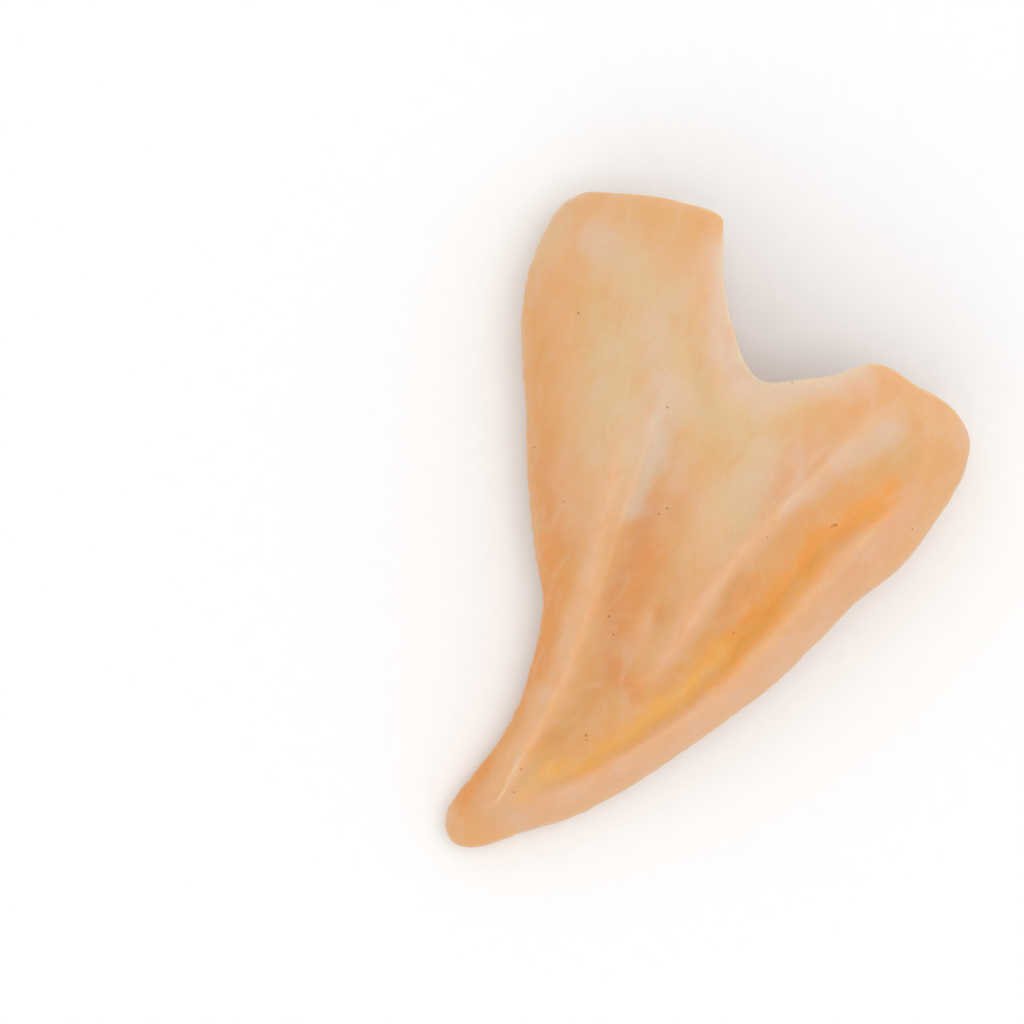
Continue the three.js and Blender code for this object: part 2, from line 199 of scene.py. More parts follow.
# %% Low folds, in millimetres from the point
# y, x, reach to trailing, reach to leading, rise
SMALL_FOLDS = {
    "trailing_crest": [
        (66, -9.2, 1.5, 1.3, 0.0), (58, -6.9, 1.5, 1.3, 0.15), (50, -4.4, 1.5, 1.2, 0.22),
        (43, -2.0, 1.4, 1.2, 0.22), (36, 0.4, 1.5, 1.2, 0.2), (28, 1.4, 1.5, 1.2, 0.15),
        (20, 1.8, 1.4, 1.2, 0.15), (12, 2.1, 1.2, 1.0, 0.15), (8.5, 2.3, 1.0, 0.8, 0.0),
    ],
    "trough_bank": [
        (75, -7.0, 0.9, 0.9, 0.0), (70, -5.8, 0.9, 0.8, 0.2), (63, -4.2, 0.9, 0.7, 0.3),
        (56, -2.7, 0.8, 0.7, 0.35), (49, -1.1, 0.8, 0.7, 0.35), (43, 0.5, 0.8, 0.7, 0.2),
        (39, 1.6, 0.7, 0.7, 0.0),
    ],
    "trough_floor": [
        (36, 6.2, 1.6, 1.8, 0.0), (30, 6.6, 1.8, 2.0, -0.25), (24, 5.4, 1.5, 1.6, -0.25),
        (17, 4.4, 1.1, 1.2, -0.25), (11, 3.8, 0.9, 1.0, 0.0),
    ],
    "centre_crest": [
        (91, 25.2, 2.0, 1.6, 0.0), (85, 22.4, 2.0, 1.6, 0.15), (80, 20.7, 1.8, 1.5, 0.2),
        (72, 18.2, 1.6, 1.4, 0.2), (64, 16.1, 1.4, 1.2, 0.15), (54, 14.8, 1.4, 1.2, 0.1),
        (44, 14.0, 1.4, 1.2, 0.15), (36.5, 13.2, 1.2, 1.0, 0.0),
    ],
    "ridge_crease": [
        (87, 21.0, 0.7, 0.7, 0.0), (81, 19.2, 0.7, 0.7, -0.25), (74, 17.4, 0.7, 0.7, -0.25),
        (67, 15.6, 0.7, 0.7, 0.0),
    ],
    "bowl_step": [
        (40, 14.5, 1.4, 1.4, 0.0), (36.5, 12.5, 1.5, 1.5, 0.4), (35, 9.5, 1.5, 1.5, 0.4),
        (36.5, 6.5, 1.3, 1.3, 0.0),
    ],
    "bowl_dimple": [
        (48, 9.4, 1.2, 1.2, -0.05), (46, 9.5, 1.6, 1.6, -0.3), (44, 9.3, 1.3, 1.3, -0.05),
    ],
    "bowl_swell": [(52, 7.2, 2.4, 2.0, 0.0), (43, 7.2, 2.2, 1.8, 0.25), (39, 7.6, 2.0, 1.8, 0.0)],
    "bowl_crease": [
        (60, 5.5, 0.9, 0.9, 0.0), (54, 6.4, 0.9, 1.0, -0.2), (49, 5.2, 0.9, 1.0, -0.25),
        (43, 5.4, 0.9, 0.9, 0.0),
    ],
    "flank_step": [
        (62, 17.4, 1.4, 1.4, 0.0), (58, 17.4, 1.2, 1.4, -0.4), (54, 17.2, 1.0, 1.4, -0.55),
        (50.5, 18.0, 1.0, 1.4, -0.4), (47, 18.8, 1.2, 1.2, 0.0),
    ],
    "flank_bump": [
        (60.4, 17.6, 0.9, 0.9, 0.1), (59, 18.2, 1.2, 1.2, 0.45), (57.8, 19.2, 0.8, 0.8, 0.1),
    ],
    "flank_notch": [
        (58, 18.4, 0.6, 0.6, 0.0), (56.4, 19.2, 0.7, 0.8, -0.4), (54.6, 20.0, 0.7, 0.7, 0.0),
    ],
    "flank_blob": [
        (55.4, 20.2, 1.3, 1.2, 0.1), (53.4, 20.5, 1.5, 1.4, 0.6), (51.4, 20.6, 1.2, 1.2, 0.1),
    ],
    "flank_squiggle": [
        (52, 17.0, 0.6, 0.6, 0.0), (50.6, 18.2, 0.6, 0.6, 0.3), (49.2, 17.6, 0.6, 0.6, 0.3),
        (47.6, 18.8, 0.6, 0.6, 0.0),
    ],
    "rim_wall": [
        (80, 34.0, 1.0, 1.4, 0.0), (76, 31.6, 1.0, 1.4, 0.2), (70, 29.2, 1.0, 1.4, 0.15),
        (62, 27.6, 1.0, 1.4, 0.15), (54, 26.0, 1.0, 1.4, 0.15), (46, 24.2, 1.0, 1.3, 0.15),
        (39, 22.2, 1.0, 1.3, 0.2), (32, 19.2, 1.0, 1.2, 0.2), (25, 15.8, 1.0, 1.2, 0.25),
        (19, 12.0, 1.0, 1.2, 0.0),
    ],
    "rim_double_lip": [
        (80, 34.6, 0.9, 0.9, 0.0), (75, 32.9, 0.8, 0.9, -0.3), (70, 31.6, 0.8, 0.9, -0.35),
        (64, 31.0, 0.8, 0.9, -0.25), (58, 29.8, 0.9, 0.9, 0.0),
    ],
    "rim_flow": [
        (66, 33.4, 0.9, 0.9, 0.0), (56, 30.8, 0.9, 0.9, -0.12), (46, 27.6, 0.8, 0.9, -0.12),
        (37, 23.6, 0.8, 0.8, -0.15), (28, 18.6, 0.8, 0.8, -0.12), (20, 13.0, 0.8, 0.8, 0.0),
    ],
    "rim_flow_inside": [
        (54, 28.2, 0.7, 0.8, 0.0), (45, 25.8, 0.7, 0.8, 0.12), (36, 21.8, 0.7, 0.7, 0.14),
        (28, 17.2, 0.7, 0.7, 0.1), (21, 12.6, 0.7, 0.7, 0.0),
    ],
    "short_lobe_curl": [
        (90.5, 24.0, 1.1, 1.1, 0.1), (92.4, 25.8, 1.1, 1.1, 0.35), (92.4, 28.4, 1.1, 1.1, 0.4),
        (90.8, 30.8, 1.1, 1.1, 0.45), (87.6, 32.4, 1.2, 1.2, 0.35), (82.5, 33.4, 1.3, 1.3, 0.0),
    ],
    "short_lobe_hollow": [
        (90, 27.6, 1.6, 1.6, 0.0), (86, 27.6, 2.0, 2.0, -0.45), (79, 26.4, 2.0, 2.0, -0.3),
        (72, 24.0, 1.8, 1.8, 0.0),
    ],
    "notch_groove": [
        (96, -12.6, 1.8, 1.8, 0.0), (92, -9.6, 1.8, 1.8, -0.35), (84, -5.2, 2.2, 2.0, -0.5),
        (78, -2.2, 2.4, 2.0, -0.4), (73, 1.5, 2.4, 2.4, 0.0),
    ],
    "notch_swell": [
        (98, -14.6, 1.8, 1.8, 0.0), (90, -9.2, 1.6, 1.6, 0.3), (85, -5.6, 1.6, 1.6, 0.3),
        (79.5, 0.5, 1.8, 1.8, 0.3), (80, 6.0, 1.8, 1.8, 0.25), (85, 13.0, 2.0, 2.0, 0.2),
        (90, 18.0, 1.8, 1.8, 0.0),
    ],
    "long_lobe_fold": [
        (84, -26, 2.6, 2.6, 0.0), (78, -22, 2.6, 2.6, -0.3), (71, -17.5, 2.6, 2.4, -0.4),
        (64, -12.5, 2.4, 2.2, -0.3), (58, -9.5, 2.0, 2.0, 0.0),
    ],
    "tip_bump": [(9.2, 0.4, 0.9, 0.9, 0.1), (7.7, 1.4, 1.1, 1.1, 0.4), (6.6, 2.6, 0.9, 0.9, 0.1)],
    "flash_line": [
        (17.2, 1.8, 0.35, 0.35, 0.1), (15.4, 2.1, 0.35, 0.35, 0.35), (13.4, 1.8, 0.35, 0.35, 0.3),
        (11.2, 2.3, 0.35, 0.35, 0.35), (9.4, 2.2, 0.35, 0.35, 0.3), (8.6, 2.7, 0.35, 0.35, 0.0),
    ],
    "hairline": [
        (50.6, -5.8, 0.4, 0.4, 0.0), (49.4, -4.6, 0.35, 0.35, -0.25),
        (48.9, -3.6, 0.35, 0.35, -0.25), (49.4, -2.6, 0.4, 0.4, 0.0),
    ],
    "fleck": [(32.8, 7.0, 0.3, 0.3, 0.1), (31.9, 5.9, 0.35, 0.35, 0.3), (31.0, 5.2, 0.3, 0.3, 0.1)],
}
small_folds = [np.array(rows, float) for rows in SMALL_FOLDS.values()]
print("small folds:", ", ".join(SMALL_FOLDS))

# %% [markdown]
# ## How a fold lifts the face
# Each fold's rows become a chain of short straight steps. A point of the face takes its lift from
# the nearest step: all of it on the line, and less and less out along the flanks, in a bell curve.

# %% The lift of one fold
FOLD_STEPS = 40


def chain_through(rows):
    """A fold's rows as many short steps."""
    numbered = np.column_stack([np.arange(len(rows)), rows])
    return smooth_through(numbered, np.linspace(0, len(rows) - 1, FOLD_STEPS + 1))


def fold_lift(rows, x, y):
    """How far one fold lifts or sinks each point of the face."""
    chain = chain_through(rows)
    nearest = np.full(x.shape, np.inf)
    lift = np.zeros(x.shape)
    for start, end in zip(chain[:-1], chain[1:]):
        run_y, run_x = (end - start)[:2]
        share = ((x - start[1]) * run_x + (y - start[0]) * run_y) / (run_x**2 + run_y**2)
        share = np.clip(share, 0, 1)
        foot_x = start[1] + share * run_x
        away = np.hypot(x - foot_x, y - start[0] - share * run_y)
        here = start + share[..., None] * (end - start)
        flank = np.where(x < foot_x, here[..., 2], here[..., 3])
        closer = away < nearest
        lift = np.where(closer, here[..., 4] * np.exp(-((away / flank) ** 2)), lift)
        nearest = np.minimum(away, nearest)
    return lift


groove = np.array(FOLDS["leading_groove"]) * SHARE_SIZES
middle_row = groove[len(groove) // 2]
groove_lift = fold_lift(groove, middle_row[1:2], middle_row[:1])
print("lift in the middle of the leading groove, mm:", groove_lift.round(2))

# %% [markdown]
# ## The grid
# The skin is one grid wrapped round the form. Columns run from the mouth to the point, over the
# face and back underneath, and crowd together at the seams, where the skin turns sharply. A grid
# made this way has even, four-sided cells, which shade more smoothly than a remeshed surface.

# %% Columns and rows
FACE_COLUMNS = 200
BACK_COLUMNS = 48
BODY_ROWS = 176
NOSE_ROWS = 12
EDGE_CROWDING = 0.8


def crowded(count):
    """Places from 0 to 1, closer together at both ends."""
    even = np.arange(count) / count
    return even + EDGE_CROWDING * ((1 - np.cos(np.pi * even)) / 2 - even)


across = np.concatenate([crowded(FACE_COLUMNS), 1 - crowded(BACK_COLUMNS)])
on_face = np.arange(len(across)) < FACE_COLUMNS
cut = smooth_through(MOUTH, across)[:, 0] * LENGTH
cut -= np.where(on_face, 0, BACK_SETBACK * np.sin(np.pi * across))
body = np.arange(BODY_ROWS)[:, None] / BODY_ROWS
nose = np.sin(np.pi / 2 * np.arange(NOSE_ROWS) / NOSE_ROWS)[:, None]
y = np.vstack([cut + (NOSE - cut) * body, np.repeat(NOSE * (1 - nose), len(across), axis=1)])
print("grid:", y.shape[1], "columns by", y.shape[0], "rows")

# %% [markdown]
# ## The outer skin
# Every cross-section is a rounded profile above the side seams and a flatter one below them. The
# folds are added on the face alone, and fade out at the seams, so the outline stays clean.

# %% Shape the outer skin
TRAILING_SQUARENESS = 2.1
LEADING_SQUARENESS = 3.0
BACK_SQUARENESS = 3.2


def rounded_profile(across, trailing, leading):
    """0 at the seams and 1 in the middle, with its own squareness on each side."""
    squareness = np.where(across < 0.5, trailing, leading)
    return (1 - np.abs(2 * across - 1) ** squareness) ** (1 / squareness)


trailing, leading, face, back, arch = np.moveaxis(smooth_through(SECTIONS, y / LENGTH), -1, 0)
nose = np.sqrt(1 - (1 - np.minimum(y / NOSE, 1)) ** 2)
half = (leading - trailing) / 2 * WIDTH * nose
x = (trailing + leading) / 2 * WIDTH + (2 * across - 1) * half
seam = arch * ARCH + back * BACK_DEPTH
folds = sum(fold_lift(rows, x, y) for rows in big_folds + small_folds)
crown = rounded_profile(across, TRAILING_SQUARENESS, LEADING_SQUARENESS)
keel = rounded_profile(across, BACK_SQUARENESS, BACK_SQUARENESS)
over_seam = crown * (face * FACE_HEIGHT * nose + folds)
under_seam = back * BACK_DEPTH * nose * keel
z = seam + np.where(on_face, over_seam, -under_seam)
outer = np.stack([x, y, z], axis=-1)
print("highest point, mm:", z.max().round(1), "deepest fold:", folds.min().round(1))

# %% [markdown]
# ## Hand-made unevenness
# Poured latex is never quite true: it swells and sags by a fraction of a millimetre. Slow noise
# pushes the skin in and out along its own normal. Real depth like this catches the light on the
# outline too, which a bump map can't do.

# %% Push the skin in and out a little
LUMPS = [(11.0, 0.20), (4.5, 0.09), (1.9, 0.04)]  # size and height, mm
SEAM_NICKS = 0.2  # depth of the nicks left along the trimmed seams, mm
NICK_SIZE = 1.6  # mm
SEAM_REACH = 0.35  # of the profile's height
SEED_STEP = (1, 7.3, 0)  # how far each seed moves the noise along
SHORTEST = 1e-9  # keeps a normal from being divided by nothing


def grid_normals(points):
    """Outward normals of a grid that closes on itself from column to column."""
    round_the_form = np.roll(points, -1, axis=1) - np.roll(points, 1, axis=1)
    to_the_point = np.gradient(points, axis=0)
    normals = np.cross(to_the_point, round_the_form)
    return normals / np.maximum(np.linalg.norm(normals, axis=-1, keepdims=True), SHORTEST)


def lumps_at(points, size, seed):
    """Slow noise at each point, from about -1 to 1."""
    offset = Vector([seed * part for part in SEED_STEP])
    flat = [noise.noise(Vector(point) / size + offset) for point in points.reshape(-1, 3)]
    return np.array(flat).reshape(points.shape[:-1])


normals = grid_normals(outer)
unevenness = sum(
    height * lumps_at(outer, size, seed) for seed, (size, height) in enumerate(LUMPS, 1)
)
near_seam = np.exp(-((crown / SEAM_REACH) ** 2)) * np.exp(-((keel / SEAM_REACH) ** 2))
unevenness += SEAM_NICKS * near_seam * lumps_at(outer, NICK_SIZE, len(LUMPS) + 1)
outer += unevenness[..., None] * normals
print("unevenness, mm:", unevenness.min().round(2), "to", unevenness.max().round(2))

# %% [markdown]
# ## The inner skin and the cut lip
# Inside, the latex follows the mould's face one wall further in, with softer folds. It runs thin
# towards the cut, where the last of it drained away, and the scissors leave a slightly rounded
# lip. It pools in the point, so the hollow ends in a round bottom. A Solidify modifier could add
# the wall, but it can't thin it out, round the lip or fill the point.

# %% Offset the inner skin, and round the lip and the hollow's end
LIP_THINNING = 0.45  # share of the wall that is gone at the cut
LIP_REACH = 5.0  # how far in from the cut the wall is back to full, mm
LIP_RINGS = 4
LIP_BULGE = 0.35  # of the wall
INNER_EVENING = 8  # times that the inner skin is evened out
END_RINGS = 8
END_DEPTH = 3.0  # of the hollow's round bottom, mm

normals = grid_normals(outer)
from_cut = np.clip((cut - y) / LIP_REACH, 0, 1)
wall = WALL * (1 - LIP_THINNING * (1 - from_cut) ** 2)
hollow_rows = int(np.argmax(y[:, 0] < TIP_FILL))
inner = (outer - wall[..., None] * normals)[:hollow_rows]
for _ in range(INNER_EVENING):
    inner = (np.roll(inner, 1, axis=1) + 2 * inner + np.roll(inner, -1, axis=1)) / 4
    inner[1:-1] = (inner[:-2] + 2 * inner[1:-1] + inner[2:]) / 4
outwards = outer[0] - outer[1]
outwards /= np.linalg.norm(outwards, axis=1, keepdims=True)
lip = [
    outer[0] + share * (inner[0] - outer[0]) + outwards * WALL * LIP_BULGE * np.sin(np.pi * share)
    for share in np.arange(1, LIP_RINGS) / LIP_RINGS
]
end_middle = inner[-1].mean(axis=0)
bottom = [
    end_middle + (inner[-1] - end_middle) * np.cos(turn) - (0, END_DEPTH * np.sin(turn), 0)
    for turn in np.pi / 2 * np.arange(1, END_RINGS) / END_RINGS
]
print("wall at the cut, mm:", wall[0].mean().round(2), "and inside:", WALL)

# %% [markdown]
# ## One closed mesh
# The rings are stacked in one list, from the hollow's end inside, out over the lip, and down to
# the point, so that each pair of neighbours is joined by a band of four-sided faces. A fan of
# triangles closes each end. The mesh is then moved to where the plain solid lies, so that both
# share one middle and one floor.

# %% Join the rings
rings = [*bottom[::-1], *inner[::-1], *lip[::-1], *outer]
columns = len(across)
hollow_end_place = end_middle - (0, END_DEPTH, 0)
tip_place = outer[-1].mean(axis=0) * (1, 0, 1)
points = np.concatenate([*rings, [hollow_end_place, tip_place]])
hollow_end, tip = len(points) - 2, len(points) - 1
first_outer = len(rings) - len(outer)

step = np.arange(columns)
beside = np.roll(step, -1)
bands = []
for ring in range(len(rings) - 1):
    here, there = ring * columns, (ring + 1) * columns
    bands += np.column_stack([here + step, there + step, there + beside, here + beside]).tolist()
last = (len(rings) - 1) * columns
fans = [(last + a, tip, last + b) for a, b in zip(step.tolist(), beside.tolist())]
fans += [(b, hollow_end, a) for a, b in zip(step.tolist(), beside.tolist())]

solid_middle = (solid_low + solid_high) / 2 / MM
middle = (points.min(axis=0) + points.max(axis=0)) / 2
lowest = points[:, 2].min()
to_place = np.array([solid_middle.x, solid_middle.y, 0]) - (middle[0], middle[1], lowest)
skin_mesh = bpy.data.meshes.new("ear_tip_skin")
skin_mesh.from_pydata(((points + to_place) * MM).tolist(), [], bands + fans)
skin_mesh.shade_smooth()
skin = bpy.data.objects.new("ear_tip_skin", skin_mesh)
bpy.context.scene.collection.objects.link(skin)
skin_mesh.validate()
print("faces:", len(skin_mesh.polygons), "moved by, mm:", to_place.round(2))

# %% [markdown]
# ## Where the colour goes
# The latex is tinted in the pour and brushed by hand afterwards: warm orange in the grooves, pink
# on the rims and ridges, cream over the flat parts, and a pale edge where the skin is thin. Some
# strokes are painted light and shade: painted highlights on the crests, a painted sheen on the
# trough's flank, a peach, orange and amber lift where the folds shade the face, and painted shade
# down the trailing edge. Each tint is a few brush strokes down the face, kept on the mesh as an
# attribute that the finish reads. An image could do it too, but strokes in a table can be moved
# one by one.

# %% Brush strokes, in millimetres from the point
# Each stroke: its reach, its strength, then its places as (x, y).
STROKES = {
    "olive": [
        (3.5, 0.45, (-26, 97), (-17, 100), (-13, 99)), (2.4, 0.8, (10, 83), (14, 86)),
        (2.5, 0.5, (13, 80), (15, 84)), (2.0, 0.5, (-9, 87), (-3, 79)),
        (2.0, 0.6, (-24, 84), (-20, 76)), (2.4, 0.6, (2, 75), (5, 71)),
        (3.0, 0.6, (29, 86), (27, 81)), (2.0, 0.5, (25, 93), (32, 92.5)),
        (2.5, 0.4, (5, 14), (10, 19)), (2.0, 0.5, (-12, 61), (-8, 54)),
    ],
    "tan": [
        (3.0, 0.5, (-31, 79), (-28, 74), (-23, 66)), (3.0, 0.65, (-27, 73), (-23, 66), (-20, 61)),
        (4.5, 0.8, (-19, 61), (-12, 52.5), (-7.5, 46)),
        (4.0, 0.7, (-7.5, 46), (-4, 34), (-2.5, 22), (-2.5, 8)), (2.0, 0.25, (18, 91), (20, 88)),
        (3.0, 0.35, (22, 76), (20, 66)), (3.5, 0.4, (18.5, 60), (18.5, 48)),
        (3.0, 0.4, (17.5, 48), (16.5, 38)), (4.0, 0.8, (6, 33), (8, 28), (6, 22)),
        (3.5, 0.4, (7, 57), (8, 50)), (3.0, 0.2, (0, 7), (0, 2)),
    ],
    "cream": [
        (6.0, 0.9, (-21, 90), (-14, 88), (-9, 80), (-2, 77), (7, 79)),
        (6.0, 1.0, (-17, 80), (-13, 72), (-10, 65)), (3.5, 0.6, (-10, 78), (-8, 74)),
        (5.0, 0.9, (9, 76), (11, 68), (11.5, 60)), (3.0, 0.6, (15, 77), (14, 68)),
        (2.0, 0.7, (26, 91), (27, 87)), (2.0, 0.35, (28, 93), (33, 92.5)),
        (2.0, 0.5, (23.5, 87), (21.5, 82)), (2.5, 0.5, (-33.5, 92), (-33.5, 85)),
    ],
    "pink": [
        (3.0, 0.8, (34, 78), (33, 69), (31, 60), (29, 52), (26, 44), (22.5, 35), (18, 26),
         (12, 16), (5, 8)),
        (1.6, 0.6, (15.5, 64), (14.6, 56), (14, 47), (13.3, 38)), (3.0, 0.6, (16, 80), (15.5, 72)),
        (3.5, 0.5, (-14, 58), (-8, 52)), (2.0, 0.45, (8, 44), (8, 40)), (2.0, 0.6, (-1, 8), (5, 9)),
    ],
    # Peach is painted light: it lifts the ridge band and the bowl where the folds shade them.
    "painted_light_peach": [
        (2.0, 0.8, (-3.4, 45), (-2, 40), (-0.6, 33), (0, 26), (0.4, 19), (0.2, 11)),
        (2.6, 0.6, (10, 62), (10.5, 56), (12.4, 50)), (2.0, 0.35, (8, 44), (10, 40)),
        (2.0, 0.3, (3.2, 31), (3.8, 25)),
    ],
    # Umber darkens the trough and the bowl; its stroke from (-18, 57) to (-10, 47), down the
    # trailing edge, is painted shade.
    "umber_and_painted_shade": [
        (2.2, 0.6, (-0.4, 61), (1, 54), (2, 49), (3.2, 44), (5, 39.5)),
        (1.6, 0.6, (4.6, 40), (6.2, 37), (9, 35), (13, 33.5)),
        (2.0, 0.4, (-18, 57), (-14, 53), (-10, 47)), (1.6, 0.25, (17.6, 57), (17.4, 50)),
        (0.6, 0.4, (3.6, 22), (3.3, 12)), (2.5, 0.3, (3, 63), (1, 58)),
    ],
    # Rust's first three strokes, from (-11, 46) down to (-3.4, 6) along the trailing edge, are
    # painted shade; the others darken the trough, the bowl and a flank.
    "rust_and_painted_shade": [
        (2.2, 0.8, (-11, 46), (-7, 41)), (2.4, 1.0, (-7, 41), (-3.9, 36), (-2.7, 29)),
        (1.7, 0.9, (-2.7, 29), (-2.5, 21), (-2.6, 12), (-3.4, 6)),
        (2.4, 0.6, (3.6, 54), (4.6, 48), (5.4, 42)), (1.3, 0.6, (9, 46.6), (9.6, 45.6)),
        (2.0, 0.4, (8, 37), (12, 35)), (2.0, 0.25, (20, 57), (19.5, 51)),
    ],
    # Orange is the groove's colour, brightened and carried onto the groove's shaded wall as painted
    # light.
    "orange_and_painted_light": [
        (2.2, 1.0, (30, 80), (29.2, 76), (26.4, 72), (24.2, 68), (23.8, 62), (23.1, 56),
         (21.8, 50), (20.4, 45)),
        (2.6, 0.3, (28, 79), (24, 71), (22, 64), (21, 56), (19.5, 47), (17.5, 38), (13.5, 28),
         (10, 21)),
    ],
    # Amber is the lower groove's colour, brighter than the latex so that it lifts the fold's shade;
    # the stroke from (27.4, 68) down the rim's shaded inner flank is painted light only.
    "amber_and_painted_light": [
        (1.7, 1.0, (20.8, 46), (19.1, 39.5), (17.1, 33.5)),
        (1.6, 0.85, (17.1, 33.5), (14.5, 27.5), (11.4, 21.5), (6.9, 16.5)),
        (1.2, 0.75, (27.4, 68), (26.4, 62), (25.6, 56), (24.4, 50), (23, 45), (21.6, 40)),
        (1.8, 0.4, (6.9, 16.5), (5, 12)), (1.6, 0.35, (4.6, 20), (3.8, 14)),
    ],
    # These pale strokes are painted highlights along the crests, the rim, the lobe's curl and a
    # raised line.
    "painted_highlight": [
        (1.6, 0.8, (-8, 63), (-5.4, 53), (-3, 46)),
        (1.6, 0.6, (-3, 46), (-1, 40), (0.4, 34), (1.4, 28), (1.9, 20), (2.2, 11)),
        (2.0, 0.3, (25.5, 91), (22.6, 85), (20.6, 79), (18.8, 73), (17.4, 68)),
        (1.5, 0.5, (17.4, 68), (16.2, 64), (14.6, 58), (13.6, 48)),
        (1.2, 0.4, (30.6, 73), (28.4, 68), (27.4, 62), (26.2, 54)),
        (1.0, 0.35, (26.2, 54), (24.4, 47), (22.2, 39), (19.2, 31), (15.4, 24)),
        (1.8, 0.3, (31, 56), (28, 46), (24, 36), (18.5, 26), (13, 17), (7, 9)),
        (3.0, 0.4, (-11, 66), (-8, 58)), (2.0, 0.5, (29, 94), (34, 93)),
        (0.3, 0.7, (5.2, 31), (7, 32.8)),
    ],
    "milk_and_painted_sheen": [
        (3.2, 0.7, (-28, 91), (-26, 91)), (3.0, 0.4, (-14, 85), (-11, 80)),
        # The strokes from (-7.6, 77) down to (-2.6, 58) are a painted sheen on the trough's flank;
        # the other milk strokes are the pale cut edge and pale patches.
        (2.4, 0.3, (-9, 70), (-9, 66)), (2.6, 1.0, (-7.6, 77), (-5.6, 72), (-4.2, 67)),
        (1.6, 0.8, (-4.2, 67), (-3.2, 62), (-2.6, 58)), (1.8, 0.4, (0, 68), (1.5, 65)),
        (2.2, 0.8, (25.2, 88.5), (24, 85), (21.4, 80)),
        (1.8, 0.6, (21.6, 80), (19.4, 75), (17.8, 70)), (2.8, 0.3, (12, 76), (12, 68)),
        (2.6, 0.8, (-11, 100), (-7, 92), (-3, 86)),
        (2.6, 1.0, (-3, 86), (2, 83), (6, 83), (11, 87)), (2.6, 0.9, (11, 87), (17, 93)),
        (0.35, 0.6, (2, 17), (2.1, 15), (1.8, 13.4), (2.3, 11), (2.2, 9.2)),
    ],
    "grit": [(2.4, 1.0, (-2, 67), (0, 60), (1.4, 52), (2.6, 45)), (1.4, 0.5, (5, 38), (10, 34))],
}
print("tints:", ", ".join(STROKES))

# %% [markdown]
# ## Laying the strokes on
# A stroke is strongest on its line and fades in a bell curve, like a soft brush, and it strays a
# little from the line, as a hand does. Strokes of one tint are blended by taking the strongest.
# All of them run on over the lip and a little way under the seams. The pale edge is a tint as
# well, by distance from the scissors' cut, and shows most along the notch.

# %% Lay the strokes on the face
def away_from_line(places, x, y):
    """Distance of each point from a line of places."""
    nearest = np.full(x.shape, np.inf)
    places = np.array(places, float)
    for (x1, y1), (x2, y2) in zip(places[:-1], places[1:]):
        run = np.array([x2 - x1, y2 - y1])
        share = np.clip(((x - x1) * run[0] + (y - y1) * run[1]) / (run @ run), 0, 1)
        nearest = np.minimum(nearest, np.hypot(x - x1 - share * run[0], y - y1 - share * run[1]))
    return nearest


def lay_on(strokes, x, y):
    """One tint's strength at each point."""
    layer = np.zeros(x.shape)
    for reach, strength, *places in strokes:
        layer = np.maximum(layer, strength * np.exp(-((away_from_line(places, x, y) / reach) ** 2)))
    return layer


TINT_WRAP = 0.6  # how far the tints run on under the seams, of the back's depth
WANDER = 0.9  # how far a stroke strays from its line, mm
WANDER_SIZE = 6.0  # mm
WANDER_SEEDS = (11, 12)
CUT_LINE_STEP = 6  # one point of the cut in so many is enough to measure from
EDGE_BAND = 1.3  # mm
EDGE_STRENGTH = 0.8
LOBE_EDGE = 0.25  # how pale the cut is on the lobes, of what it is in the notch
NOTCH = (-12, 18)  # from x to x, mm
COVERED = 0.3  # strength from which a tint is counted below as covering the face
painted = np.broadcast_to(np.where(on_face, 1, np.exp(-((keel / TINT_WRAP) ** 2))), x.shape)
brush_x = x + WANDER * lumps_at(outer, WANDER_SIZE, WANDER_SEEDS[0])
brush_y = y + WANDER * lumps_at(outer, WANDER_SIZE, WANDER_SEEDS[1])
tints = {name: painted * lay_on(strokes, brush_x, brush_y) for name, strokes in STROKES.items()}
cut_line = np.column_stack([x[0, on_face], cut[on_face]])
from_mouth = away_from_line(cut_line[::CUT_LINE_STEP], x, y)
notch = np.clip(np.minimum(x - NOTCH[0], NOTCH[1] - x) / EDGE_BAND, LOBE_EDGE, 1)
tints["thin_edge"] = EDGE_STRENGTH * notch * np.exp(-((from_mouth / EDGE_BAND) ** 2))
tints["outside_face"] = np.broadcast_to(on_face * 1.0, x.shape)

first = (first_outer - len(lip)) * columns
for name, layer in tints.items():
    over_lip = np.concatenate([np.tile(layer[0], len(lip)), layer.ravel()])
    values = np.zeros(len(points))
    values[first : first + over_lip.size] = over_lip
    attribute = skin_mesh.attributes.new(name, "FLOAT", "POINT")
    attribute.data.foreach_set("value", values)
    print(f"{name}: covers {100 * (layer[:, on_face] > COVERED).mean():.0f}% of the face")

# %% [markdown]
# ## The latex
# Cured latex is satin, slightly see-through and never one flat colour. The base tint is clouded,
# and the brushed tints go over it one by one, each broken up by quicker clouds so that no stroke
# has a clean edge. Light that sinks in a little softens the folds. All of it is made from noise
# and the strokes, so it holds up at any distance, which a picture of latex wouldn't.

# %% Helpers for the finish
latex = bpy.data.materials.new("latex")
latex.use_nodes = True
nodes, links = latex.node_tree.nodes, latex.node_tree.links
surface = nodes["Principled BSDF"]


def add(kind, **settings):
    """A new node with its settings."""
    new = nodes.new(kind)
    for name, value in settings.items():
        setattr(new, name, value)
    return new


def feed(socket, value):
    """Links a node's output to a socket, or sets a plain value on it."""
    if isinstance(value, bpy.types.NodeSocket):
        links.new(value, socket)
    else:
        socket.default_value = value


def maths(operation, first, second=0.0, clamp=False):
    """One sum of two values."""
    new = add("ShaderNodeMath", operation=operation, use_clamp=clamp)
    feed(new.inputs[0], first)
    feed(new.inputs[1], second)
    return new.outputs[0]


def stretched(value, times, plus):
    """A value times one number, plus another."""
    return maths("ADD", maths("MULTIPLY", value, times), plus)


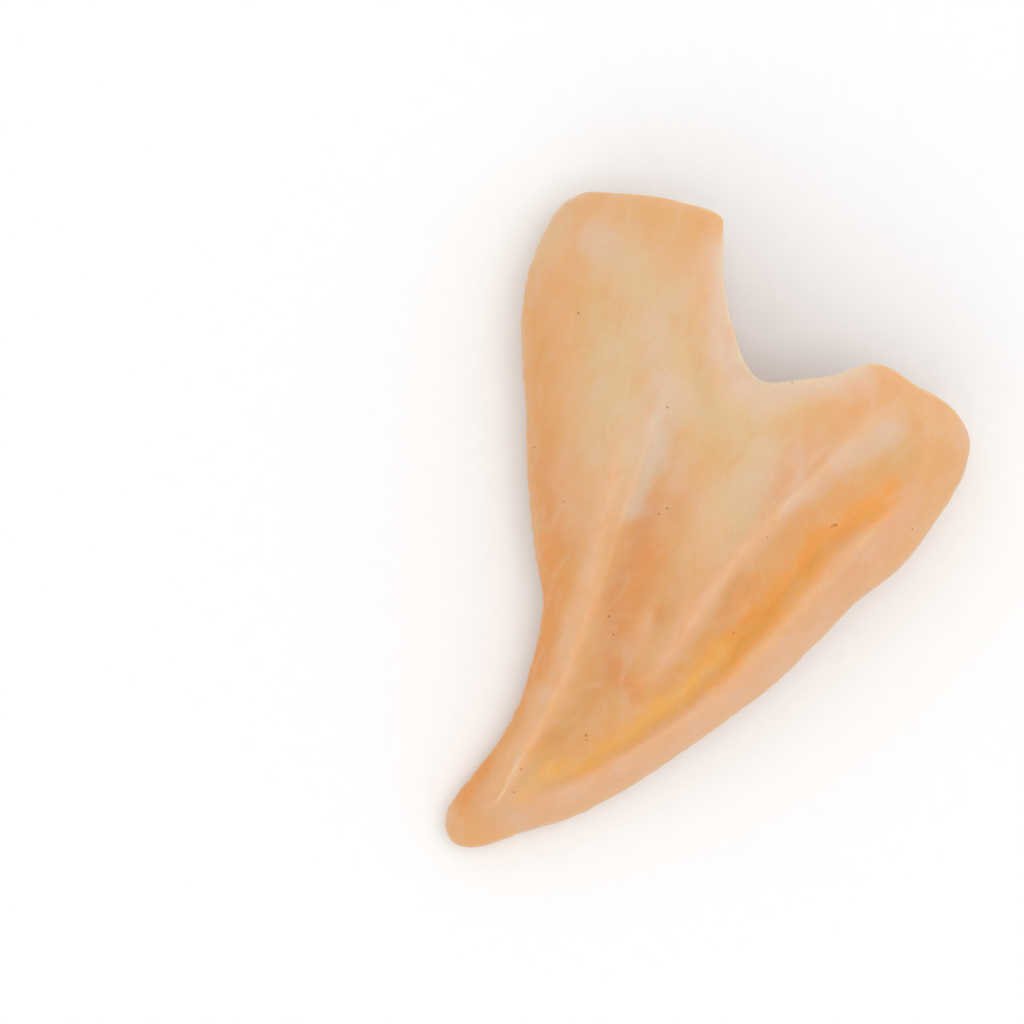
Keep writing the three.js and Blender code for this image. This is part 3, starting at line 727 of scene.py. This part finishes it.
def excess(more, less, times):
    """How far one value is over another, times a number, from 0 to 1."""
    return maths("MULTIPLY", maths("SUBTRACT", more, less, clamp=True), times, clamp=True)


SCREEN_TOE, TOE_SLOPE, SCREEN_OFFSET, SCREEN_POWER = 0.04045, 12.92, 0.055, 2.4


def linear(red, green, blue):
    """A colour as picked on a screen, from 0 to 255, made linear for Blender."""
    parts = [part / 255 for part in (red, green, blue)]
    return [
        part / TOE_SLOPE if part <= SCREEN_TOE
        else ((part + SCREEN_OFFSET) / (1 + SCREEN_OFFSET)) ** SCREEN_POWER
        for part in parts
    ] + [1]


MIX_UNDER, MIX_OVER, MIX_RESULT = 6, 7, 2  # places of a Mix node's colour sockets


def blend(under, over, share):
    """One colour over another."""
    new = add("ShaderNodeMix", data_type="RGBA")
    feed(new.inputs["Factor"], share)
    feed(new.inputs[MIX_UNDER], under)
    feed(new.inputs[MIX_OVER], over)
    return new.outputs[MIX_RESULT]


print("finish:", latex.name)

# %% [markdown]
# ## Clouds and streaks
# Pigment never mixes quite evenly in the pour. It gathers in slow clouds, and the swilling pulls
# it into streaks down the length. Noise at a few sizes gives both, and a fine grain over them.

# %% Clouds at several sizes
SLOW_CLOUDS = 16.0  # mm
QUICK_CLOUDS = 4.5  # mm
GRAIN = 0.6  # mm
STREAKS = 3.2  # mm across
STREAK_SQUEEZE = (1, 0.55, 1)  # under 1 draws the streaks out along the part
STREAK_CURL = 0.7
GRAIN_ROUGHNESS = 0.65


def clouds(where, size, detail=3.0, roughness=0.5, curl=0.0):
    """Noise from 0 to 1 with cells of about the given size in millimetres."""
    new = add("ShaderNodeTexNoise")
    new.inputs["Scale"].default_value = 1 / (size * MM)
    new.inputs["Detail"].default_value = detail
    new.inputs["Roughness"].default_value = roughness
    new.inputs["Distortion"].default_value = curl
    feed(new.inputs["Vector"], where)
    return new.outputs["Fac"]


def scaled(where, scales):
    """A place with each of its three parts times a number."""
    new = add("ShaderNodeVectorMath", operation="MULTIPLY")
    feed(new.inputs[0], where)
    new.inputs[1].default_value = scales
    return new.outputs[0]


place = add("ShaderNodeTexCoord").outputs["Object"]
slow_clouds = clouds(place, SLOW_CLOUDS)
quick_clouds = clouds(place, QUICK_CLOUDS)
grain = clouds(place, GRAIN, detail=4, roughness=GRAIN_ROUGHNESS)
streaks = clouds(scaled(place, STREAK_SQUEEZE), STREAKS, curl=STREAK_CURL)
print("cloud sizes, mm:", SLOW_CLOUDS, QUICK_CLOUDS, GRAIN, "and streaks of", STREAKS)

# %% [markdown]
# ## Tint over tint
# The colours are read off the photo. The order matters: the wide washes go first, and the
# thin lights and the pale edge last, as they would be brushed on.

# %% Mix the tints
BASE = linear(229, 183, 134)
BASE_CLOUD = linear(228, 176, 122)
# Some of these are painted light and shade, as noted at their strokes: peach lifts shaded flanks
# and pale paints highlights; orange and amber are partly painted light, milk partly a painted
# sheen, and rust and umber partly painted shade.
TINTS = {
    "olive": linear(223, 185, 121),
    "tan": linear(226, 166, 103),
    "cream": linear(224, 196, 155),
    "pink": linear(231, 183, 149),
    "painted_light_peach": linear(241, 186, 138),
    "umber_and_painted_shade": linear(227, 157, 105),
    "rust_and_painted_shade": linear(233, 157, 87),
    "orange_and_painted_light": linear(246, 171, 86),
    "amber_and_painted_light": linear(251, 184, 101),
    "painted_highlight": linear(234, 190, 152),
    "milk_and_painted_sheen": linear(226, 201, 176),
    "thin_edge": linear(227, 206, 184),
}
BASE_CLOUDING = 0.55
LEAST_COVER, CLOUD_COVER = 0.62, 0.7  # of a stroke between the quick clouds, and what they add
STREAK_LEVEL = 0.5  # streaks over it are milky, those under it are ruddy
STREAK_COVER = 1.2
LEAST_VALUE, GRAIN_VALUE = 0.95, 0.10  # brightness between the grains, and what they add


def attribute_of(name):
    """What the mesh keeps under a name."""
    return add("ShaderNodeAttribute", attribute_name=name).outputs["Fac"]


colour = blend(BASE, BASE_CLOUD, maths("MULTIPLY", slow_clouds, BASE_CLOUDING, clamp=True))
broken_up = stretched(quick_clouds, CLOUD_COVER, LEAST_COVER)
for name, tint in TINTS.items():
    colour = blend(colour, tint, maths("MULTIPLY", attribute_of(name), broken_up, clamp=True))
colour = blend(colour, TINTS["milk_and_painted_sheen"], excess(streaks, STREAK_LEVEL, STREAK_COVER))
colour = blend(colour, TINTS["tan"], excess(STREAK_LEVEL, streaks, STREAK_COVER))
value_shift = add("ShaderNodeHueSaturation")
feed(value_shift.inputs["Value"], stretched(grain, GRAIN_VALUE, LEAST_VALUE))
feed(value_shift.inputs["Color"], colour)
colour = value_shift.outputs["Color"]
print("tints mixed:", len(TINTS))

# %% [markdown]
# ## From the look to the pigment
# The tints are picked as they look in the photo, which is pigment times light, and a thin sheen on
# top. The sheen is taken off and the light divided out, so that the finish looks right once lit.

# %% From the look to the pigment
LIGHT = 1.06
SHEEN = 0.03
pigment = add("ShaderNodeVectorMath", operation="MULTIPLY_ADD")
feed(pigment.inputs[0], colour)
pigment.inputs[1].default_value = [1 / LIGHT] * 3
pigment.inputs[2].default_value = [-SHEEN / LIGHT] * 3
colour = pigment.outputs[0]
print("white would become:", round((1 - SHEEN) / LIGHT, 3))

# %% [markdown]
# ## Pinholes and specks
# Air bubbles in the mould leave pinholes that gather dirt. There are only a few, so each one is
# listed. The smallest distance to any of them, measured against its own size, makes one
# mask for all. They are under half a millimetre, too small to be worth any faces. One patch of
# the trough is dusted with finer grit, which is left to noise.

# %% Dark specks, as x, y from the point and radius, mm
SPECKS = [
    (-24.4, 80.0, 0.16), (-5.5, 74.3, 0.15), (2.2, 61.0, 0.15), (1.5, 59.6, 0.13),
    (25.35, 71.15, 0.12), (25.75, 71.65, 0.18), (25.5, 71.5, 0.12), (-20.0, 59.0, 0.12),
    (-12.0, 54.0, 0.11), (17.6, 64.8, 0.12), (20.6, 49.6, 0.13), (2.8, 42.3, 0.16),
    (4.8, 40.2, 0.14), (9.0, 24.7, 0.16), (9.4, 24.1, 0.12), (3.0, 15.2, 0.14), (3.8, 11.6, 0.14),
    (9.0, 87.0, 0.12), (36.2, 77.0, 0.12),
]
SPECK_TINT, SPECK_COVER = linear(122, 76, 46), 0.6
SPECK_REACH = 1.4  # where a speck has faded out, of its radius
SPECK_CRISPNESS = 2
FAR = 100.0  # further than any speck, in radii
GRIT_TINT, GRIT_COVER = linear(170, 105, 70), 0.16
GRIT_SIZE = 0.45  # mm
GRIT_LEVEL = 0.46  # clouds under it show as grit
GRIT_CRISPNESS = 5.0

flat_place = scaled(place, (1 / MM, 1 / MM, 0))
nearest_speck = FAR
for speck_x, speck_y, radius in SPECKS:
    away = add("ShaderNodeVectorMath", operation="DISTANCE")
    feed(away.inputs[0], flat_place)
    away.inputs[1].default_value = (speck_x + to_place[0], speck_y + to_place[1], 0)
    in_radii = maths("DIVIDE", away.outputs["Value"], radius)
    nearest_speck = maths("MINIMUM", nearest_speck, in_radii)
specks = excess(SPECK_REACH, nearest_speck, SPECK_CRISPNESS)
specks = maths("MULTIPLY", specks, attribute_of("outside_face"))
grit = attribute_of("grit")
grit_clouds = clouds(place, GRIT_SIZE, detail=2)
grit_dots = maths("MULTIPLY", grit, excess(GRIT_LEVEL, grit_clouds, GRIT_CRISPNESS))
colour = blend(colour, GRIT_TINT, maths("MULTIPLY", grit_dots, GRIT_COVER))
colour = blend(colour, SPECK_TINT, maths("MULTIPLY", specks, SPECK_COVER))
feed(surface.inputs["Base Color"], colour)
print("specks:", len(SPECKS))

# %% [markdown]
# ## Gloss and fine grain
# The mould's plaster leaves a fine tooth in the latex, so it is satin, with a slightly uneven
# gloss. The relief here is hundredths of a millimetre deep, which is what bump is good for.

# %% Roughness, bump and depth
LEAST_ROUGHNESS, CLOUD_ROUGHNESS = 0.38, 0.16  # between the quick clouds, and what they add
TOOTH_STRENGTH = 0.35
TOOTH_DEPTH = 0.12  # mm
FINE_TOOTH, SLOW_TOOTH = 0.5, 1.8  # mm
GRIT_TOOTH = 2.0  # how much the grit stands out of the tooth
LATEX = {
    "IOR": 1.45,
    "Subsurface Weight": 0.8,
    "Subsurface Radius": (1.0, 0.45, 0.22),  # red light sinks in deepest
    "Subsurface Scale": 3.0 * MM,
}
feed(surface.inputs["Roughness"], stretched(quick_clouds, CLOUD_ROUGHNESS, LEAST_ROUGHNESS))

even_tooth = maths("ADD", clouds(place, FINE_TOOTH), clouds(place, SLOW_TOOTH, detail=2))
rough_patch = maths("MULTIPLY", maths("MULTIPLY", grit, GRIT_TOOTH), grit_clouds)
bump = add("ShaderNodeBump")
bump.inputs["Strength"].default_value = TOOTH_STRENGTH
bump.inputs["Distance"].default_value = TOOTH_DEPTH * MM
feed(bump.inputs["Height"], maths("ADD", even_tooth, rough_patch))
feed(surface.inputs["Normal"], bump.outputs["Normal"])

for name, value in LATEX.items():
    surface.inputs[name].default_value = value
skin_mesh.materials.append(latex)
print("light sinks in, mm:", round(LATEX["Subsurface Scale"] / MM, 1))

# %% [markdown]
# ## In place of the plain solid
# The dressed skin stands for the plain one, which is hidden but still there for physics.

# %% Take the solid's place
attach(skin, "root")
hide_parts("ear_tip")
print("rides on root, replaces ear_tip")

# %% [markdown]
# ## A pale floor
# The ear tip lies on a clean white sheet. A wide plane is enough, a shade under white so that the
# contact shadow shows, and with a little grain so that it isn't a flat colour.

# %% Floor
FLOOR_HALF = 3.0  # metres
PAPER, PAPER_CLOUD = [0.90, 0.90, 0.90, 1], [0.93, 0.93, 0.925, 1]
PAPER_CLOUDS = 3.0  # mm
PAPER_ROUGHNESS = 0.9

floor_mesh = bpy.data.meshes.new("floor")
signs = [(-1, -1), (1, -1), (1, 1), (-1, 1)]
corners = [(a * FLOOR_HALF, b * FLOOR_HALF, 0) for a, b in signs]
floor_mesh.from_pydata(corners, [], [(0, 1, 2, 3)])
floor = bpy.data.objects.new("floor", floor_mesh)
bpy.context.scene.collection.objects.link(floor)

paper = bpy.data.materials.new("paper")
paper.use_nodes = True
nodes, links = paper.node_tree.nodes, paper.node_tree.links
sheet = nodes["Principled BSDF"]
paper_place = add("ShaderNodeTexCoord").outputs["Object"]
paper_clouds = clouds(paper_place, PAPER_CLOUDS)
feed(sheet.inputs["Base Color"], blend(PAPER, PAPER_CLOUD, paper_clouds))
sheet.inputs["Roughness"].default_value = PAPER_ROUGHNESS
floor_mesh.materials.append(paper)
print("floor, m:", 2 * FLOOR_HALF)

# %% [markdown]
# ## Soft studio light
# The photo is bright and almost shadowless: light from every side, and a little more from above
# on the leading side. A pale world gives the first, and one big soft box the second.

# %% World and lights
WORLD_STRENGTH = 0.92

world = bpy.data.worlds.new("studio")
bpy.context.scene.world = world
world.use_nodes = True
background = world.node_tree.nodes["Background"]
background.inputs["Color"].default_value = (1, 1, 1, 1)
background.inputs["Strength"].default_value = WORLD_STRENGTH


def soft_box(name, place, size, watts):
    """A square area light that faces the ear tip."""
    lamp = bpy.data.lights.new(name, "AREA")
    lamp.size, lamp.energy = size, watts
    box = bpy.data.objects.new(name, lamp)
    box.location = place
    box.rotation_mode = "QUATERNION"
    box.rotation_quaternion = (-Vector(place)).to_track_quat("-Z", "Y")
    bpy.context.scene.collection.objects.link(box)
    print(name, "at", place, "with", watts, "W")


soft_box("key_box", place=(0.25, 0.15, 1.5), size=0.9, watts=5)

# %% [markdown]
# ## The camera
# The photo looks straight down, and the ear tip lies turned by 30 degrees in it, to the right of
# the middle. A long lens keeps its sides from leaning, and the camera is turned, not the ear tip.

# %% Camera
LENS = 250  # mm
SENSOR = 36  # mm
PICTURE = 157  # width of the photo's view at half the ear tip's height, mm
PICTURE_MIDDLE = (-18.0, 48.7)  # from the point, mm
TURN = 30  # degrees

camera = bpy.data.objects.new("camera", bpy.data.cameras.new("camera"))
camera.data.lens, camera.data.sensor_width = LENS, SENSOR
half_height = (solid_high.z - solid_low.z) / 2
middle_x, middle_y = (np.array(PICTURE_MIDDLE) + to_place[:2]) * MM
camera.location = (middle_x, middle_y, half_height + PICTURE * MM * LENS / SENSOR)
camera.rotation_euler = (0, 0, np.radians(TURN))
bpy.context.scene.collection.objects.link(camera)
bpy.context.scene.camera = camera
bpy.context.scene.view_settings.view_transform = "Standard"
print("camera, mm:", [round(part / MM) for part in camera.location])
